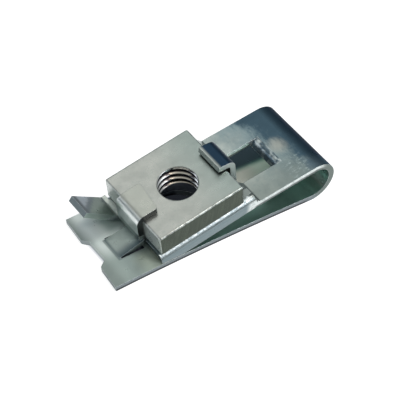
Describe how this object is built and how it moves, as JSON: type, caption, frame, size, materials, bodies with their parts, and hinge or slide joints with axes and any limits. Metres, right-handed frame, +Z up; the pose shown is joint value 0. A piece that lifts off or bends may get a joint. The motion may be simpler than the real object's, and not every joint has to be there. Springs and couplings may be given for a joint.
{
  "type": "u clip speed nut",
  "caption": "U shaped spring steel clip holding a loose threaded plate between a tab and a hook, pushed over a panel's edge to take a machine screw.",
  "frame": {"origin": "on the surface that the clip lies on, below the middle of its bounding box", "axes": "+X towards the closed bend, +Y across the strip to the edge with the ear, +Z up"},
  "size_m": [0.0338, 0.0122, 0.0094],
  "materials": {
    "clip_steel": "zinc plated spring steel, satin",
    "nut_steel": "zinc plated, satin"
  },
  "bodies": {
    "root": {"spring_clip": "clip_steel", "nut_plate": "nut_steel"}
  },
  "joints": []
}
